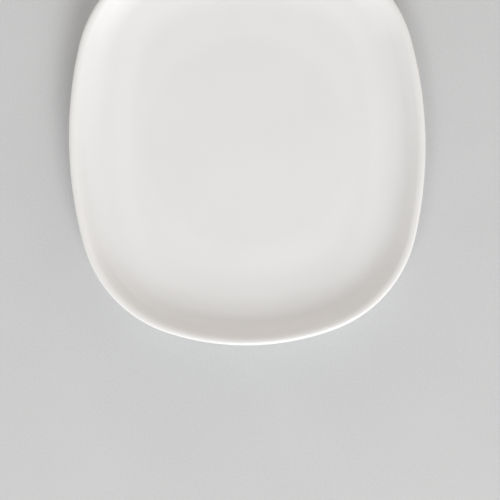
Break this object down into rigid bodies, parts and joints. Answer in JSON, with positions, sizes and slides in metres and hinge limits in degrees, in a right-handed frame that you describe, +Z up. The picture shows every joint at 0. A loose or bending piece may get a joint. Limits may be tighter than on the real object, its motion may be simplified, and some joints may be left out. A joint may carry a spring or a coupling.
{
  "type": "side plate",
  "caption": "White glazed porcelain side plate: a shallow rounded-oblong dish with a leaning side, a rounded rim and a ground foot ring, for serving food.",
  "frame": {"origin": "centre of the foot ring, on the plane of its ground edge", "axes": "+X across the width, +Y along the length, +Z up out of the well"},
  "size_m": [0.175, 0.2, 0.02],
  "materials": {
    "porcelain": "bare, ground",
    "glaze": "gloss"
  },
  "bodies": {
    "root": {"porcelain_body": "porcelain", "glaze_coat": "glaze", "base_glaze": "glaze"}
  },
  "joints": []
}
